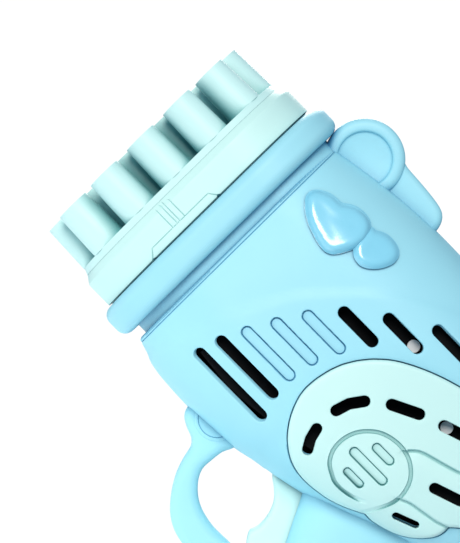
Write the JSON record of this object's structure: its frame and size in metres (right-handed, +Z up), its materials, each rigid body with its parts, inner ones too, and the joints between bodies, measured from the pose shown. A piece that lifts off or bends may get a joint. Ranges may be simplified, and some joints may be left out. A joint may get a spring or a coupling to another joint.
{
  "type": "bubble machine",
  "caption": "Hand-held electric bubble blower with an oval head of bubble tubes, a squeeze trigger in a guard, wing side panels, heart badges and a flat-footed grip.",
  "frame": {"origin": "centre of the whole part's box on the plane that the grip's foot stands on", "axes": "+X points forwards out of the bubble head along the barrel, +Z is up, +Y is the toy's left side, which the picture shows"},
  "size_m": [0.27, 0.0914, 0.2298],
  "materials": {
    "case_blue": "semi-gloss",
    "badge_blue": "high gloss",
    "mint": "semi-gloss",
    "black_plastic": "matte",
    "steel": "plated",
    "seal_rubber": "matte",
    "fan_white": "semi-gloss",
    "cell_jacket": "printed film",
    "wire_red": "satin",
    "plunger_red": "gloss"
  },
  "bodies": {
    "case": {"left_shell": "case_blue", "right_shell": "case_blue", "front_bulkhead": "case_blue", "collar_ring": "case_blue", "grip_foot": "case_blue", "wing_panel_left": "mint", "wing_panel_right": "mint", "heart_large_left": "badge_blue", "heart_small_left": "badge_blue", "heart_large_right": "badge_blue", "heart_small_right": "badge_blue", "case_screws": "steel", "head_seal": "seal_rubber", "fan_housing": "black_plastic", "air_duct": "black_plastic", "motor": "steel", "motor_bracket": "black_plastic", "motor_screws": "steel", "baffle_left": "black_plastic", "baffle_right": "black_plastic", "baffle_pegs": "fan_white", "trigger_pin": "steel", "trigger_spring": "steel", "switch_body": "black_plastic", "switch_screws": "steel", "battery_tray": "black_plastic", "batteries": "cell_jacket", "front_contacts": "steel", "wiring": "wire_red"},
    "head": {"nozzle_cap": "mint", "tube_plate": "mint", "diffuser_plate": "mint"},
    "cover": {"rear_cover": "case_blue", "cover_screw": "steel", "rear_contacts": "steel"},
    "rotor": {"impeller": "fan_white", "motor_shaft": "steel"},
    "trigger": {"trigger": "mint"},
    "plunger": {"switch_plunger": "plunger_red"}
  },
  "joints": [
    {"name": "head_pull", "type": "slide", "parent": "case", "child": "head", "axis": [1, 0, 0], "range_m": [0, 0.03]},
    {"name": "cover_pull", "type": "slide", "parent": "case", "child": "cover", "axis": [-1, 0, 0], "range_m": [0, 0.04]},
    {"name": "rotor_spin", "type": "hinge", "parent": "case", "child": "rotor", "pos_m": [0.03, 0, 0.15], "axis": [1, 0, 0], "continuous": true},
    {"name": "trigger_pull", "type": "hinge", "parent": "case", "child": "trigger", "pos_m": [-0.012, 0, 0.1], "axis": [0, 1, 0], "range_deg": [0, 8], "stiffness_Nm_per_rad": 0.25, "springref_deg": -17.19, "deforming": ["trigger_spring"]},
    {"name": "plunger_press", "type": "slide", "parent": "case", "child": "plunger", "axis": [-1, 0, 0], "range_m": [0, 0.0035], "stiffness_N_per_m": 15, "springref_m": -0.004}
  ],
  "couplings": [
    {"joint": "plunger_press", "follows": "trigger_pull", "m_per_rad": 0.0236}
  ]
}
